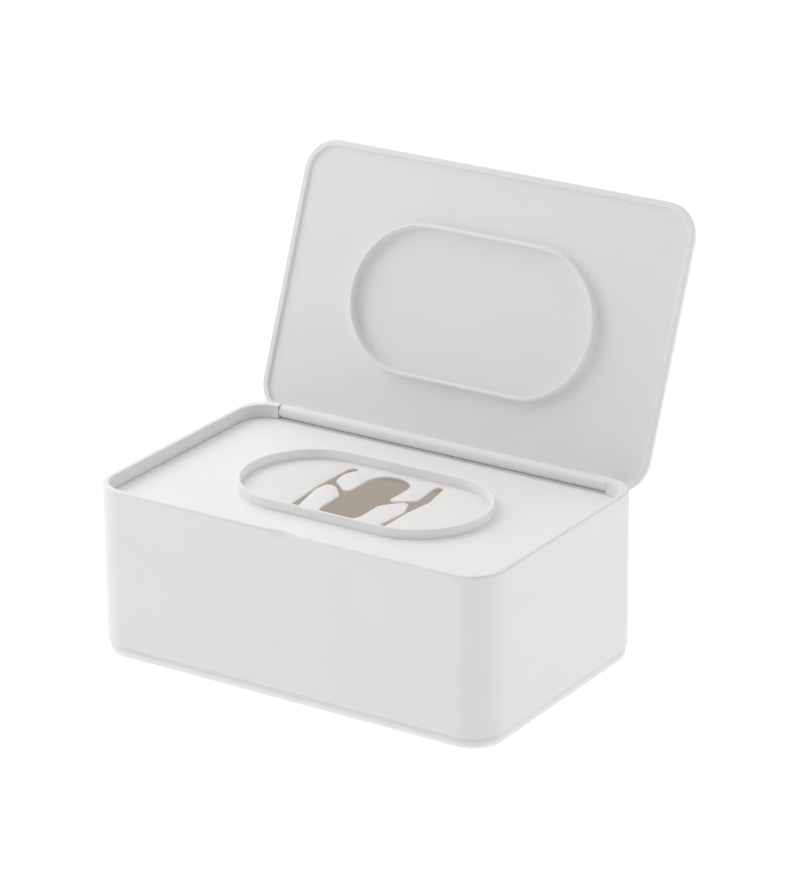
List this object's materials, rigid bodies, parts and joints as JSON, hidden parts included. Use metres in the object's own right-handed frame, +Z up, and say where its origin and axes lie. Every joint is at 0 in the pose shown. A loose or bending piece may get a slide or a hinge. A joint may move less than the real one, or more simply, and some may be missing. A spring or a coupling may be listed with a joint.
{
  "type": "baby wipe warmer",
  "caption": "Box-shaped white wipe warmer with a full-width hinged lid standing open, a lift-out inner cover with a collared wavy outlet, a heated tub and a slim inset plinth.",
  "frame": {"origin": "in the plane of the plinth's flat underside, under the middle of the case's footprint", "axes": "+X along the case's width, to the right seen from the front; the front faces -Y and the hinge is at +Y; +Z up"},
  "size_m": [0.2, 0.1752, 0.1886],
  "materials": {
    "shell_white": "moulded white plastic, soft satin sheen",
    "tub_white": "warm white moulded plastic",
    "outlet_soft": "soft white elastomer, satin",
    "seal_grey": "soft matt silicone",
    "foot_rubber": "matt rubber",
    "steel": "bright zinc-plated steel",
    "plate_aluminium": "plain sheet",
    "film_amber": "amber polyimide film",
    "pad_grey": "needled insulation felt",
    "tray_nylon": "natural nylon",
    "black_plastic": "black heat-resistant plastic",
    "board_green": "solder-masked laminate",
    "lead_red": "PVC insulation",
    "lead_yellow": "silicone insulation",
    "lead_grey": "PVC insulation"
  },
  "bodies": {
    "case": {"case_shell": "shell_white", "base_plinth": "shell_white", "rubber_feet": "foot_rubber", "base_screws": "steel", "wipe_tub": "tub_white", "heater_plate": "plate_aluminium", "heating_film": "film_amber", "insulation_pad": "pad_grey", "heater_carrier": "tray_nylon", "carrier_screws": "steel", "thermostat": "black_plastic", "thermal_fuse": "steel", "temperature_sensor": "film_amber", "control_board": "board_green", "board_parts": "black_plastic", "board_screws": "steel", "power_inlet": "black_plastic", "inlet_nut": "steel", "inlet_leads": "lead_red", "heater_leads": "lead_yellow", "sensor_leads": "lead_grey", "hinge_pin_left": "steel", "hinge_pin_right": "steel"},
    "lid": {"lid": "shell_white"},
    "inner_cover": {"inner_cover": "shell_white", "dispensing_outlet": "outlet_soft", "cover_gasket": "seal_grey"}
  },
  "joints": [
    {"name": "lid_hinge", "type": "hinge", "parent": "case", "child": "lid", "pos_m": [0, 0.0605, 0.075], "axis": [1, 0, 0], "range_deg": [0, 111.75]},
    {"name": "inner_cover_lift", "type": "slide", "parent": "case", "child": "inner_cover", "axis": [0, 0, 1], "range_m": [0, 0.06]}
  ]
}
